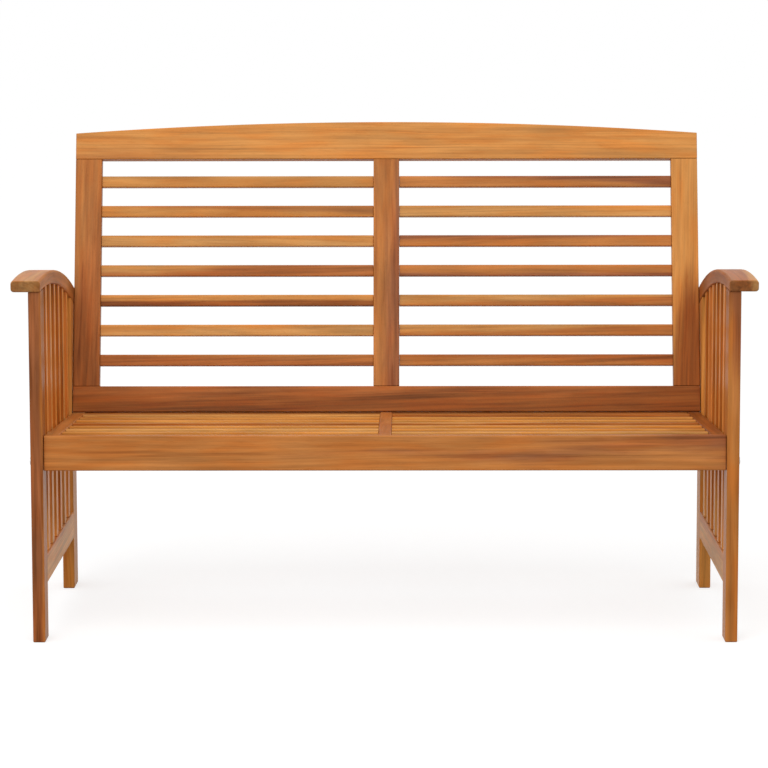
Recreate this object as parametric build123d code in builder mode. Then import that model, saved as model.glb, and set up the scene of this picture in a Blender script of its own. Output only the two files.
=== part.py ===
from build123d import *
from math import cos, radians, sin, sqrt, tan
import os

# Slatted hardwood garden bench for two. Two side frames carry a seat panel that tilts back and a back panel
# that leans back, and connector bolts with barrel nuts hold the four together. Lengths are in millimetres.
# X runs across the bench, Y from front to rear and Z up. The origin lies on the floor, in the middle of the
# bench's outline. A setback is a distance behind the front faces of the front legs.

# Width between the side frames, and the slack that lets the panels slide in between them
clear_width = 1105.0
side_gap = 0.8

# Side frames, whose rear legs are deeper than the front ones
side_depth = 529.0
leg_thickness = 20.0
leg_depth = 50.0
rear_leg_depth = 62.0
foot_chamfer = 2.0
lower_rail_lift = 90.0
lower_rail_height = 47.0
lower_rail_thickness = 20.0
side_slat_count = 6
side_slat_width = 28.0
side_slat_thickness = 16.0

# Armrests, whose top and underside are two circular arcs. The thickness is the height between their crests,
# and the underside's crest lies further forward, so that the armrest grows thicker to the rear.
arm_width = 47.5
arm_thickness = 19.5
arm_radius = 1600.0
arm_crest_height = 593.5
arm_crest_setback = 92.0
arm_under_radius = 1480.0
arm_under_setback = 63.0
arm_front_overhang = 3.0
arm_tail = 23.0
arm_edge_chamfer = 3.0

# Seat panel
seat_tilt = radians(3.0)
seat_front_height = 338.0
seat_front_setback = 12.0
seat_rail_height = 57.0
seat_rail_thickness = 22.0
seat_bearer_height = 45.0
seat_end_rail_width = 23.0
seat_centre_rail_width = 21.0
seat_slat_count = 7
seat_slat_width = 20.0
seat_slat_thickness = 18.0

# Back panel, with its slats a little above the middle of their opening
back_lean = radians(15.0)
back_seat_gap = 1.0
back_thickness = 22.0
back_bottom_rail_height = 46.0
back_opening_height = 407.0
back_top_rail_height = 47.0
back_crest_rise = 20.0
back_stile_width = 46.5
back_centre_stile_width = 45.5
back_slat_count = 7
back_slat_width = 20.0
back_slat_thickness = 12.0
back_slat_lift = 3.5

# Glued joints and eased edges
joint_gap = 0.15
edge_chamfer = 1.5
leg_tenon_thickness = 10.0
leg_tenon_depth = 30.0
arm_tenon_height = 9.0
lower_tenon_thickness = 10.0
lower_tenon_height = 33.0
lower_tenon_length = 25.0
slat_shoulder = 3.0
slat_tenon_length = 8.0
seat_tenon_width = 11.0
seat_tenon_drop = 8.0
seat_tenon_length = 10.0
stile_tenon_width = 29.0
stile_tenon_thickness = 9.0

# Connector bolts, which end just past the middle of their barrel nuts
bolt_diameter = 6.0
bolt_length = 63.0
bolt_overrun = 3.0
bolt_clearance = 0.25
bolt_cover = 5.0
head_diameter = 12.0
head_thickness = 2.5
head_recess = 3.0
socket_size = 4.0
socket_depth = 2.0
nut_diameter = 10.0
nut_length = 14.0
nut_sides = 16
thread_sides = 12
nut_clearance = 0.2
thread_clearance = 0.1
seat_bolt_rise = 15.0
seat_bolt_inset = 12.0
back_bolt_rise = 18.0
back_bolt_inset = 48.0

# Planes across the bench
inner_x = clear_width / 2
leg_x = inner_x + leg_thickness / 2
outer_x = inner_x + leg_thickness
arm_outer_x = inner_x + arm_width
panel_x = inner_x - side_gap

# The back panel stands where its lower bolt meets the rear leg
back_mid = back_thickness / 2
back_setback = side_depth - back_bolt_inset - back_bolt_rise * sin(back_lean) - back_mid * cos(back_lean)
back_base = (
    seat_front_height
    - (back_setback - seat_front_setback) * tan(seat_tilt)
    + back_seat_gap
)
back_opening_top = back_bottom_rail_height + back_opening_height
back_end_height = back_opening_top + back_top_rail_height
back_crest_height = back_end_height + back_crest_rise
back_bevel = back_thickness * tan(back_lean - seat_tilt)
back_reach = (
    back_setback
    + (back_crest_height - edge_chamfer) * sin(back_lean)
    + back_thickness * cos(back_lean)
)
front_y = (arm_front_overhang - back_reach) / 2

# Section planes of the two panels: their first axis runs to the rear, the second up and the third along X
seat_section = Plane(
    origin=(0, front_y + seat_front_setback, seat_front_height),
    x_dir=(0, cos(seat_tilt), -sin(seat_tilt)),
    z_dir=(1, 0, 0),
)
back_section = Plane(
    origin=(0, front_y + back_setback, back_base),
    x_dir=(0, cos(back_lean), -sin(back_lean)),
    z_dir=(1, 0, 0),
)

# Bolt lines through the seat panel, given in its section
seat_bolt_drop = seat_rail_height - seat_bolt_rise
rear_leg_setback = side_depth - rear_leg_depth
seat_rear_bolt = (
    rear_leg_setback + seat_bolt_inset - seat_front_setback + seat_bolt_drop * sin(seat_tilt)
) / cos(seat_tilt)
seat_depth = seat_rear_bolt + seat_rail_thickness / 2
seat_opening = seat_depth - 2 * seat_rail_thickness
front_seat_bolt = seat_section.from_local_coords((seat_rail_thickness / 2, -seat_bolt_drop, 0))
rear_seat_bolt = seat_section.from_local_coords((seat_rear_bolt, -seat_bolt_drop, 0))

# Bolt lines through the back panel. The upper one is where the middle of the armrest meets the stile.
low_back_bolt = back_section.from_local_coords((back_mid, back_bolt_rise, 0))
arm_centre_y = front_y + arm_crest_setback
arm_centre_z = arm_crest_height - arm_radius
under_centre_y = front_y + arm_under_setback
under_centre_z = arm_crest_height - arm_thickness - arm_under_radius
arm_mid_radius = (arm_radius + arm_under_radius) / 2
arm_mid_centre = Vector(0, arm_centre_y + under_centre_y, arm_centre_z + under_centre_z) / 2
stile_foot = back_section.from_local_coords((back_mid, 0, 0)) - arm_mid_centre
stile_slope = stile_foot.Y * sin(back_lean) + stile_foot.Z * cos(back_lean)
arm_bolt_rise = sqrt(stile_slope**2 + arm_mid_radius**2 - stile_foot.Y**2 - stile_foot.Z**2) - stile_slope
arm_bolt = back_section.from_local_coords((back_mid, arm_bolt_rise, 0))

# Holes for the bolts and nuts. The heads lie on the legs, and are let into the armrests.
bolt_hole = bolt_diameter / 2 + bolt_clearance
head_hole = head_diameter / 2 + bolt_clearance
nut_hole = nut_diameter / 2 + nut_clearance
bolt_reach = bolt_length - bolt_overrun
bolt_past_nut = bolt_overrun + bolt_clearance
arm_head_x = arm_outer_x - head_recess
leg_nut_x = outer_x - bolt_reach
arm_nut_x = arm_head_x - bolt_reach

# Tenons that stop short of the bolts
seat_tenon_height = seat_bolt_drop - nut_hole - bolt_cover - seat_tenon_drop
stile_tenon_length = back_bottom_rail_height - back_bolt_rise - nut_hole - bolt_cover


def spread(start, space, count, width):
    """Centre lines of equal slats with equal gaps between them and at both ends of a space."""
    gap = (space - count * width) / (count + 1)
    return [start + gap + width / 2 + number * (gap + width) for number in range(count)]


def arm_underside(y):
    """Height of the armrest's lower face at a place along the bench's depth."""
    return under_centre_z + sqrt(arm_under_radius**2 - (y - under_centre_y) ** 2)


def inward(x, point):
    """Planes through a bolt line at plus and minus x, both facing the middle of the bench."""
    return [
        Plane(origin=(side * x, point.Y, point.Z), x_dir=(0, 1, 0), z_dir=(-side, 0, 0))
        for side in (1, -1)
    ]


def across(section, place, x):
    """Nut planes on the right and left of a panel, square to its faces, at a place in its section."""
    return [
        Plane(
            origin=section.from_local_coords((*place, side * x)),
            x_dir=(1, 0, 0),
            z_dir=section.x_dir,
        )
        for side in (1, -1)
    ]


def save(name, piece):
    """Write one piece under its own name."""
    piece.label = name
    export_step(piece, f"parts/{name}.step")


def save_pair(name, piece, number=""):
    """Write a piece of the right-hand side and its mirror image on the left."""
    with BuildPart() as twin:
        mirror(piece, about=Plane.YZ)
    save(f"{name}_right{number}", piece)
    save(f"{name}_left{number}", twin.part)


os.makedirs("parts", exist_ok=True)

front_leg_y = front_y + leg_depth / 2
rear_leg_y = front_y + side_depth - rear_leg_depth / 2
side_opening = side_depth - leg_depth - rear_leg_depth
side_slat_ys = spread(front_y + leg_depth, side_opening, side_slat_count, side_slat_width)
lower_rail_top = lower_rail_lift + lower_rail_height
lower_rail_middle = lower_rail_lift + lower_rail_height / 2
side_tenon_thickness = side_slat_thickness - 2 * slat_shoulder
side_tenon_width = side_slat_width - 2 * slat_shoulder


def make_leg(y, depth, inner_face, bolts):
    """A leg cut to the armrest's curve, with a tenon on top and a mortise for the lower rail."""
    rail_mortise = Plane(
        origin=(leg_x, y + inner_face * depth / 2, lower_rail_middle),
        x_dir=(1, 0, 0),
        z_dir=(0, -inner_face, 0),
    )
    with BuildPart() as leg:
        with BuildSketch(Plane.XY) as outline:
            with Locations((leg_x, y)):
                Rectangle(leg_thickness, depth)
            chamfer(outline.vertices(), edge_chamfer)
        extrude(amount=arm_crest_height)
        with Locations((leg_x, under_centre_y, under_centre_z)):
            Cylinder(arm_under_radius - joint_gap, arm_width, rotation=(0, 90, 0), mode=Mode.INTERSECT)
        chamfer(leg.faces().sort_by(Axis.Z)[0].edges(), foot_chamfer)
        with BuildSketch(Plane.XY.offset(arm_underside(y) + arm_tenon_height)):
            with Locations((leg_x, y)):
                Rectangle(leg_tenon_thickness, leg_tenon_depth)
        extrude(amount=-arm_tenon_height - arm_thickness)
        with BuildSketch(rail_mortise):
            Rectangle(lower_tenon_thickness + 2 * joint_gap, lower_tenon_height + 2 * joint_gap)
        extrude(amount=lower_tenon_length + joint_gap, mode=Mode.SUBTRACT)
        with Locations(*[Plane(origin=(outer_x, bolt.Y, bolt.Z), z_dir=(1, 0, 0)) for bolt in bolts]):
            Hole(bolt_hole)
    return leg.part


save_pair("front_leg", make_leg(front_leg_y, leg_depth, 1, [front_seat_bolt]))
save_pair("rear_leg", make_leg(rear_leg_y, rear_leg_depth, -1, [rear_seat_bolt, low_back_bolt]))


# Lower rails, tenoned into both legs, with mortises for the side slats along the top
lower_rail_length = side_opening - 2 * joint_gap
lower_rail_plane = Plane(
    origin=(leg_x, front_y + leg_depth + side_opening / 2, lower_rail_middle),
    x_dir=(1, 0, 0),
    z_dir=(0, -1, 0),
)
with BuildPart() as lower_rail:
    with BuildSketch(lower_rail_plane) as outline:
        Rectangle(lower_rail_thickness, lower_rail_height)
        chamfer(outline.vertices(), edge_chamfer)
    extrude(amount=lower_rail_length / 2, both=True)
    with BuildSketch(lower_rail_plane):
        Rectangle(lower_tenon_thickness, lower_tenon_height)
    extrude(amount=lower_rail_length / 2 + lower_tenon_length, both=True)
    with BuildSketch(Plane.XY.offset(lower_rail_top)):
        with Locations(*[(leg_x, y) for y in side_slat_ys]):
            Rectangle(side_tenon_thickness + 2 * joint_gap, side_tenon_width + 2 * joint_gap)
    extrude(amount=-slat_tenon_length - joint_gap, mode=Mode.SUBTRACT)
save_pair("lower_rail", lower_rail.part)


def make_side_slat(y):
    """An upright slat from the lower rail to the armrest, with a tenon at each end."""
    slat_foot = lower_rail_top + joint_gap
    tenon_foot = slat_foot - slat_tenon_length
    with BuildPart() as slat:
        with BuildSketch(Plane.XY.offset(slat_foot)) as outline:
            with Locations((leg_x, y)):
                Rectangle(side_slat_thickness, side_slat_width)
            chamfer(outline.vertices(), edge_chamfer)
        extrude(amount=arm_crest_height - slat_foot)
        with Locations((leg_x, under_centre_y, under_centre_z)):
            Cylinder(arm_under_radius - joint_gap, arm_width, rotation=(0, 90, 0), mode=Mode.INTERSECT)
        with BuildSketch(Plane.XY.offset(tenon_foot)):
            with Locations((leg_x, y)):
                Rectangle(side_tenon_thickness, side_tenon_width)
        extrude(amount=arm_underside(y) + arm_tenon_height - tenon_foot)
    return slat.part


for number, y in enumerate(side_slat_ys, start=1):
    save_pair("side_slat", make_side_slat(y), f"_{number}")


# Armrests: an arched board with mortises below for the legs and the side slats
arm_front_y = front_y - arm_front_overhang
arm_rear_y = arm_bolt.Y + arm_tail


def arm_arc(centre_y, centre_z, radius):
    """Front, crest and rear points of an arc of the armrest's side view."""
    ends = [(y, centre_z + sqrt(radius**2 - (y - centre_y) ** 2)) for y in (arm_front_y, arm_rear_y)]
    return ends[0], (centre_y, centre_z + radius), ends[1]


with BuildPart() as armrest:
    with BuildSketch(Plane.YZ.offset(inner_x)):
        with BuildLine():
            arm_top = ThreePointArc(*arm_arc(arm_centre_y, arm_centre_z, arm_radius))
            arm_bottom = ThreePointArc(*arm_arc(under_centre_y, under_centre_z, arm_under_radius))
            Line(arm_top @ 0, arm_bottom @ 0)
            Line(arm_top @ 1, arm_bottom @ 1)
        make_face()
    extrude(amount=arm_width)
    chamfer(armrest.edges(), arm_edge_chamfer)
    for y in (front_leg_y, rear_leg_y):
        with BuildSketch(Plane.XY.offset(arm_underside(y) + arm_tenon_height + joint_gap)):
            with Locations((leg_x, y)):
                Rectangle(leg_tenon_thickness + 2 * joint_gap, leg_tenon_depth + 2 * joint_gap)
        extrude(amount=-arm_tenon_height - arm_thickness, mode=Mode.SUBTRACT)
    for y in side_slat_ys:
        with BuildSketch(Plane.XY.offset(arm_underside(y) + arm_tenon_height + joint_gap)):
            with Locations((leg_x, y)):
                Rectangle(side_tenon_thickness + 2 * joint_gap, side_tenon_width + 2 * joint_gap)
        extrude(amount=-arm_tenon_height - arm_thickness, mode=Mode.SUBTRACT)
    with Locations(Plane(origin=(arm_outer_x, arm_bolt.Y, arm_bolt.Z), z_dir=(1, 0, 0))):
        CounterBoreHole(bolt_hole, head_hole, head_recess)
save_pair("armrest", armrest.part)


def slat_plane(section, place, x):
    """Plane of a slat's cross section, at a place in its panel's section and at a distance x."""
    return section.shift_origin(section.from_local_coords((*place, 0))).offset(x)


def make_cross_slat(section, place, size, near_x, far_x):
    """A slat of the right half of a panel, running along X, with a tenon at each end."""
    start = near_x + joint_gap
    length = far_x - near_x - 2 * joint_gap
    with BuildPart() as slat:
        with BuildSketch(slat_plane(section, place, start)) as outline:
            Rectangle(*size)
            chamfer(outline.vertices(), edge_chamfer)
        extrude(amount=length)
        with BuildSketch(slat_plane(section, place, start - slat_tenon_length)):
            Rectangle(*[side - 2 * slat_shoulder for side in size])
        extrude(amount=length + 2 * slat_tenon_length)
    return slat.part


def cut_slat_mortises(section, places, size, x, direction):
    """Mortises for the ends of a panel's slats, in the face at x of the piece being built."""
    with BuildSketch(*[slat_plane(section, place, x) for place in places]) as mortises:
        Rectangle(*[side - 2 * slat_shoulder + 2 * joint_gap for side in size])
    extrude(mortises.sketch, amount=direction * slat_tenon_length, mode=Mode.SUBTRACT)


# Seat panel
seat_slat_size = (seat_slat_width, seat_slat_thickness)
seat_slat_places = [
    (depth, -seat_slat_thickness / 2)
    for depth in spread(seat_rail_thickness, seat_opening, seat_slat_count, seat_slat_width)
]
seat_end_rail_x = panel_x - seat_end_rail_width / 2
seat_end_face_x = panel_x - seat_end_rail_width
seat_centre_face_x = seat_centre_rail_width / 2


def seat_bearer_plane(depth):
    """Plane across the seat at a depth. It faces the rear, with X first and the distance down second."""
    return Plane(
        origin=seat_section.from_local_coords((depth, 0, 0)), x_dir=(1, 0, 0), z_dir=seat_section.x_dir
    )


def make_seat_rail(face, into, bolt):
    """A rail across the whole seat, on the far side of its inner face, bored for the bearers and bolts."""
    bearer_places = [
        (x, seat_tenon_drop + seat_tenon_height / 2) for x in (-seat_end_rail_x, 0, seat_end_rail_x)
    ]
    with BuildPart() as rail:
        with BuildSketch(seat_section) as outline:
            with Locations((face + into * seat_rail_thickness / 2, -seat_rail_height / 2)):
                Rectangle(seat_rail_thickness, seat_rail_height)
            chamfer(outline.vertices(), edge_chamfer)
        extrude(amount=panel_x, both=True)
        with BuildSketch(seat_bearer_plane(face)):
            with Locations(*bearer_places):
                Rectangle(seat_tenon_width + 2 * joint_gap, seat_tenon_height + 2 * joint_gap)
        extrude(amount=into * (seat_tenon_length + joint_gap), mode=Mode.SUBTRACT)
        with BuildSketch(*inward(panel_x, bolt)):
            Circle(bolt_hole)
        extrude(amount=panel_x - leg_nut_x + bolt_past_nut, mode=Mode.SUBTRACT)
        with BuildSketch(*across(seat_section, (face, -seat_bolt_drop), leg_nut_x)):
            Circle(nut_hole)
        extrude(amount=into * (seat_rail_thickness + nut_length + nut_clearance) / 2, mode=Mode.SUBTRACT)
    return rail.part


save("seat_front_rail", make_seat_rail(seat_rail_thickness, -1, front_seat_bolt))
save("seat_rear_rail", make_seat_rail(seat_depth - seat_rail_thickness, 1, rear_seat_bolt))


def make_seat_bearer(x, width, slat_faces):
    """A rail from the front to the rear of the seat, with a tenon at each end and slat mortises."""
    with BuildPart() as bearer:
        with BuildSketch(seat_bearer_plane(seat_rail_thickness + joint_gap)) as outline:
            with Locations((x, seat_bearer_height / 2)):
                Rectangle(width, seat_bearer_height)
            chamfer(outline.vertices(), edge_chamfer)
        extrude(amount=seat_opening - 2 * joint_gap)
        with BuildSketch(seat_bearer_plane(seat_rail_thickness + joint_gap - seat_tenon_length)):
            with Locations((x, seat_tenon_drop + seat_tenon_height / 2)):
                Rectangle(seat_tenon_width, seat_tenon_height)
        extrude(amount=seat_opening - 2 * joint_gap + 2 * seat_tenon_length)
        for face_x, direction in slat_faces:
            cut_slat_mortises(seat_section, seat_slat_places, seat_slat_size, face_x, direction)
    return bearer.part


save_pair("seat_end_rail", make_seat_bearer(seat_end_rail_x, seat_end_rail_width, [(seat_end_face_x, 1)]))
save(
    "seat_centre_rail",
    make_seat_bearer(0, seat_centre_rail_width, [(seat_centre_face_x, -1), (-seat_centre_face_x, 1)]),
)
for number, place in enumerate(seat_slat_places, start=1):
    seat_slat = make_cross_slat(
        seat_section, place, seat_slat_size, seat_centre_face_x, seat_end_face_x
    )
    save_pair("seat_slat", seat_slat, f"_{number}")


# Back panel
back_slat_size = (back_slat_thickness, back_slat_width)
back_slat_places = [
    (back_mid, rise + back_slat_lift)
    for rise in spread(back_bottom_rail_height, back_opening_height, back_slat_count, back_slat_width)
]
back_stile_x = panel_x - back_stile_width / 2
back_stile_face_x = panel_x - back_stile_width
back_centre_face_x = back_centre_stile_width / 2


def back_stile_plane(rise):
    """Plane across the back at a height along it. It faces up, with X first and the depth second."""
    return Plane(
        origin=back_section.from_local_coords((0, rise, 0)), x_dir=(1, 0, 0), z_dir=back_section.y_dir
    )


def cut_stile_mortises(rise, depth):
    """Mortises for the three stiles in the rail being built, going up from a face or down if negative."""
    with BuildSketch(back_stile_plane(rise)) as mortises:
        with Locations(*[(x, back_mid) for x in (-back_stile_x, 0, back_stile_x)]):
            Rectangle(stile_tenon_width + 2 * joint_gap, stile_tenon_thickness + 2 * joint_gap)
    extrude(mortises.sketch, amount=depth, mode=Mode.SUBTRACT)


# Bottom rail, whose lower edge is bevelled to lie parallel to the seat
with BuildPart() as back_bottom_rail:
    with BuildSketch(back_section) as bevelled:
        Polygon(
            (0, 0),
            (back_thickness, back_bevel),
            (back_thickness, back_bottom_rail_height),
            (0, back_bottom_rail_height),
            align=None,
        )
        chamfer(bevelled.vertices(), edge_chamfer)
    extrude(amount=panel_x, both=True)
    cut_stile_mortises(back_bottom_rail_height, -stile_tenon_length - joint_gap)
    with BuildSketch(*inward(panel_x, low_back_bolt)):
        Circle(bolt_hole)
    extrude(amount=panel_x - leg_nut_x + bolt_past_nut, mode=Mode.SUBTRACT)
    with BuildSketch(*across(back_section, (back_thickness, back_bolt_rise), leg_nut_x)):
        Circle(nut_hole)
    extrude(amount=-back_mid - nut_length / 2 - nut_clearance, mode=Mode.SUBTRACT)
save("back_bottom_rail", back_bottom_rail.part)

# Top rail, straight below and arched above
back_front = Plane(origin=back_section.origin, x_dir=(1, 0, 0), z_dir=-back_section.x_dir)
with BuildPart() as back_top_rail:
    with BuildSketch(back_front):
        with BuildLine():
            crest = ThreePointArc(
                (-panel_x, back_end_height), (0, back_crest_height), (panel_x, back_end_height)
            )
            Polyline(
                crest @ 0, (-panel_x, back_opening_top), (panel_x, back_opening_top), crest @ 1
            )
        make_face()
    extrude(amount=-back_thickness)
    chamfer(back_top_rail.edges(), edge_chamfer)
    cut_stile_mortises(back_opening_top, stile_tenon_length + joint_gap)
save("back_top_rail", back_top_rail.part)


def make_stile(x, width, slat_faces):
    """An upright of the back between its two rails, with a tenon at each end and slat mortises."""
    length = back_opening_height - 2 * joint_gap
    with BuildPart() as stile:
        with BuildSketch(back_stile_plane(back_bottom_rail_height + joint_gap)) as outline:
            with Locations((x, back_mid)):
                Rectangle(width, back_thickness)
            chamfer(outline.vertices(), edge_chamfer)
        extrude(amount=length)
        with BuildSketch(back_stile_plane(back_bottom_rail_height + joint_gap - stile_tenon_length)):
            with Locations((x, back_mid)):
                Rectangle(stile_tenon_width, stile_tenon_thickness)
        extrude(amount=length + 2 * stile_tenon_length)
        for face_x, direction in slat_faces:
            cut_slat_mortises(back_section, back_slat_places, back_slat_size, face_x, direction)
    return stile.part


# End stiles also take the bolt from the armrest, and its nut from behind
with BuildPart() as back_stile:
    add(make_stile(back_stile_x, back_stile_width, [(back_stile_face_x, 1)]))
    with BuildSketch(inward(panel_x, arm_bolt)[0]):
        Circle(bolt_hole)
    extrude(amount=panel_x - arm_nut_x + bolt_past_nut, mode=Mode.SUBTRACT)
    with BuildSketch(across(back_section, (back_thickness, arm_bolt_rise), arm_nut_x)[0]):
        Circle(nut_hole)
    extrude(amount=-back_mid - nut_length / 2 - nut_clearance, mode=Mode.SUBTRACT)
save_pair("back_stile", back_stile.part)
save(
    "back_centre_stile",
    make_stile(0, back_centre_stile_width, [(back_centre_face_x, -1), (-back_centre_face_x, 1)]),
)
for number, place in enumerate(back_slat_places, start=1):
    back_slat = make_cross_slat(
        back_section, place, back_slat_size, back_centre_face_x, back_stile_face_x
    )
    save_pair("back_slat", back_slat, f"_{number}")


# Connector bolts: a flat round head with a hexagon socket, and a plain shank
leg_bolts = [front_seat_bolt, rear_seat_bolt, low_back_bolt]
bolt_planes = inward(arm_head_x, arm_bolt)
for leg_bolt in leg_bolts:
    bolt_planes += inward(outer_x, leg_bolt)
with BuildPart() as frame_bolts:
    with BuildSketch(*bolt_planes):
        Circle(head_diameter / 2)
    extrude(amount=-head_thickness)
    with BuildSketch(*bolt_planes):
        Circle(bolt_diameter / 2)
    extrude(amount=bolt_length)
    with BuildSketch(*[plane.offset(-head_thickness) for plane in bolt_planes]):
        RegularPolygon(socket_size / 2, 6, major_radius=False)
    extrude(amount=socket_depth, mode=Mode.SUBTRACT)
save("frame_bolts", frame_bolts.part)

# Barrel nuts, lying across the bolts in the middle of the boards. Barrels and threads are many-sided.
nut_planes = across(back_section, (back_mid, arm_bolt_rise), arm_nut_x)
nut_planes += across(back_section, (back_mid, back_bolt_rise), leg_nut_x)
for depth in (seat_rail_thickness / 2, seat_rear_bolt):
    nut_planes += across(seat_section, (depth, -seat_bolt_drop), leg_nut_x)
thread_planes = inward(arm_nut_x, arm_bolt)
for leg_bolt in leg_bolts:
    thread_planes += inward(leg_nut_x, leg_bolt)
with BuildPart() as barrel_nuts:
    with BuildSketch(*nut_planes):
        RegularPolygon(nut_diameter / 2, nut_sides)
    extrude(amount=nut_length / 2, both=True)
    with BuildSketch(*thread_planes):
        RegularPolygon(bolt_diameter / 2 + thread_clearance, thread_sides, major_radius=False)
    extrude(amount=nut_diameter, both=True, mode=Mode.SUBTRACT)
save("barrel_nuts", barrel_nuts.part)
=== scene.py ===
"""Slatted hardwood garden bench: eased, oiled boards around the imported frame, in a plain white studio."""
from collections import namedtuple
from math import cos, pi, radians, sin, sqrt, tan

import bpy
import numpy as np
from bpy.props import FloatProperty, FloatVectorProperty, IntProperty, PointerProperty
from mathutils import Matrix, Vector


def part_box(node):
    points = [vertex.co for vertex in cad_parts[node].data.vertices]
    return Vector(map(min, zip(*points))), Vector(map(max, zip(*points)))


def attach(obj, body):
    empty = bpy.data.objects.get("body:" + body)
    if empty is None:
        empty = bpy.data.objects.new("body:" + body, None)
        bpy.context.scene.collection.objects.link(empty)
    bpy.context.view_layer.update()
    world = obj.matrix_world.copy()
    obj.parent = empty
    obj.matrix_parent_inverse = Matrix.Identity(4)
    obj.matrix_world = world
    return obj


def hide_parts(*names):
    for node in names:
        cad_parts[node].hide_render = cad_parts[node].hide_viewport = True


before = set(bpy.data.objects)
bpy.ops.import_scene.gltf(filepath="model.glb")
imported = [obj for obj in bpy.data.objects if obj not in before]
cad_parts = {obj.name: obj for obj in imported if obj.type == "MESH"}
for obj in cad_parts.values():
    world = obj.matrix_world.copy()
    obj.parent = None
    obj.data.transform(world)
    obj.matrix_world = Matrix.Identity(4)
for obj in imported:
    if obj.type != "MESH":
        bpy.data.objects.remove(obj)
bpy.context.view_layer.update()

bl_info = {
    "name": "Slatted Garden Bench",
    "version": (1, 0, 0),
    "blender": (4, 5, 0),
    "location": "View3D > Sidebar > Bench",
    "description": "Builds the boards, finishes and studio of a slatted hardwood garden bench",
    "category": "Object",
}

# Lengths are in metres. X runs across the bench, Y from front to rear and Z up. A setback is a distance
# behind the front faces of the front legs.
LEG_LOW, LEG_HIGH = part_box("front_leg_right")
REAR_LEG_LOW, REAR_LEG_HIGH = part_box("rear_leg_right")
ARM_LOW, ARM_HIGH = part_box("armrest_right")
SIDES = {"right": 1, "left": -1}

# Side frames
INNER_X = LEG_LOW.x
OUTER_X = LEG_HIGH.x
LEG_X = (INNER_X + OUTER_X) / 2
FRONT_Y = LEG_LOW.y
REAR_LEG_DEPTH = REAR_LEG_HIGH.y - REAR_LEG_LOW.y
SIDE_DEPTH = REAR_LEG_HIGH.y - LEG_LOW.y
LOWER_RAIL_LIFT = 0.090
LOWER_RAIL_HEIGHT = 0.047
LOWER_RAIL_THICKNESS = 0.020
SIDE_SLAT_COUNT = 6
SIDE_SLAT_WIDTH = 0.028
SIDE_SLAT_THICKNESS = 0.016

# Armrests, whose top and underside are two arcs. The thickness is the height between their crests.
ARM_THICKNESS = 0.0195
ARM_RADIUS = 1.600
ARM_CREST_SETBACK = 0.092
ARM_CENTRE_Y = FRONT_Y + ARM_CREST_SETBACK
ARM_CENTRE_Z = ARM_HIGH.z - ARM_RADIUS
UNDER_RADIUS = 1.480
UNDER_CREST_SETBACK = 0.063
UNDER_CENTRE_Y = FRONT_Y + UNDER_CREST_SETBACK
UNDER_CENTRE_Z = ARM_HIGH.z - ARM_THICKNESS - UNDER_RADIUS

# Seat panel, tilted back
SEAT_TILT = radians(3.0)
SEAT_FRONT_HEIGHT = 0.338
SEAT_FRONT_SETBACK = 0.012
SEAT_RAIL_HEIGHT = 0.057
SEAT_RAIL_THICKNESS = 0.022
SEAT_BEARER_HEIGHT = 0.045
SEAT_END_RAIL_WIDTH = 0.023
SEAT_CENTRE_RAIL_WIDTH = 0.021
SEAT_SLAT_COUNT = 7
SEAT_SLAT_WIDTH = 0.020
SEAT_SLAT_THICKNESS = 0.018
SEAT_BOLT_DROP = 0.042
SEAT_BOLT_INSET = 0.012

# Back panel, leaning back
BACK_LEAN = radians(15.0)
BACK_SEAT_GAP = 0.001
BACK_THICKNESS = 0.022
BACK_BOTTOM_RAIL_HEIGHT = 0.046
BACK_OPENING_HEIGHT = 0.407
BACK_TOP_RAIL_HEIGHT = 0.047
BACK_CREST_RISE = 0.020
BACK_STILE_WIDTH = 0.0465
BACK_CENTRE_STILE_WIDTH = 0.0455
BACK_SLAT_COUNT = 7
BACK_SLAT_WIDTH = 0.020
BACK_SLAT_THICKNESS = 0.012
BACK_SLAT_LIFT = 0.0035
BACK_BOLT_RISE = 0.018
BACK_BOLT_INSET = 0.048

# Slack between the panels and the side frames, and the gap at every shoulder
SIDE_GAP = 0.0008
SHOULDER_GAP = 0.00015
PANEL_X = INNER_X - SIDE_GAP

# Recesses for the bolt heads in the armrests, and holes for the barrel nuts, which lie a bolt's reach from
# its head. The slanted line is one that no hole follows.
HEAD_RECESS_RADIUS = 0.00625
HEAD_RECESS_DEPTH = 0.003
NUT_HOLE_RADIUS = 0.0052
NUT_HOLE_DEPTH = 0.0182
BOLT_REACH = 0.060
HOLE_SEGMENTS = 48
SLANTED = (0.0, 0.6, 0.8)

# Meshes of the boards: spans from end to end, the angle that stays sharp, and how far shading favours flats
BOARD_SPANS = 6
ARMREST_SPANS = 48
TOP_RAIL_SPANS = 64
SHARP_ANGLE = radians(40)
FLAT_WEIGHT = 90

# Where a board was sawn: how far along the trunk and from the pith, and how far the pith slants to a metre
TRUNK_PLACE = (2.0, 40.0)
PITH_DISTANCE = (0.03, 0.10)
PITH_SLANT = 0.035

# Wear and painted highlight at the very edge of a board, before it is held to 1
EDGE_WEAR_AND_HIGHLIGHT = 1.4

# Figure of the wood: features to the metre along and across the grain, and their detail
FIGURE = {
    "sway": (4.0, 10.0, 1.0),
    "wander": (2.2, 12.0, 2.0),
    "heartwood": (2.6, 30.0, 4.0),
    "clouds": (6.0, 34.0, 2.0),
    "glow": (9.0, 60.0, 2.0),
    "streaks": (3.4, 110.0, 3.0),
    "dark streaks": (2.0, 130.0, 2.0),
    "veins": (2.4, 160.0, 2.0),
    "fibres": (14.0, 650.0, 3.0),
    "pores": (45.0, 1900.0, 1.0),
}
FIGURE_ROUGHNESS = 0.55
FIGURE_MEAN = 0.5
RING_NOISE = {"Scale": 1.0, "Detail": 2.0, "Roughness": 0.6}

# How far the grain sways, and how far the rings and the level of the heartwood wander
SWAY = 0.006
RING_WANDER = 0.018
HEART_WANDER = 2.4

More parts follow.
